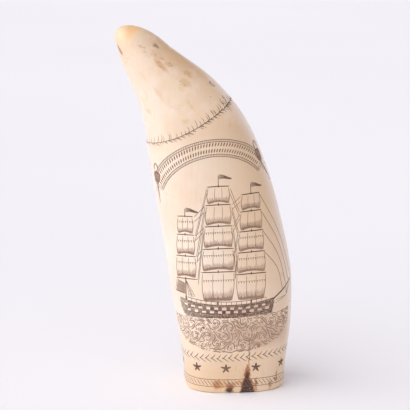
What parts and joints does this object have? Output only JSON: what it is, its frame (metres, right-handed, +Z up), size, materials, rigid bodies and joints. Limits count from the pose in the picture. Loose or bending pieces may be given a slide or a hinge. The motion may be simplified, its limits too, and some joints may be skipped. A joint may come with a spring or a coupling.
{
  "type": "scrimshaw whale tooth",
  "caption": "Curved whale tooth with engraved and inked pictures and borders, standing upright on its sawn root end, with the conical pulp cavity open below.",
  "frame": {"origin": "middle of the underside of the part's box, on the surface that the tooth stands on; the middle of the root end is 13 mm from it towards +X", "axes": "+Z up from the root end to the tip, -Y out of the broad engraved face, the tip leans towards -X"},
  "size_m": [0.0744, 0.0382, 0.155],
  "materials": {
    "ivory": "gloss"
  },
  "bodies": {
    "root": {"tooth": "ivory"}
  },
  "joints": []
}
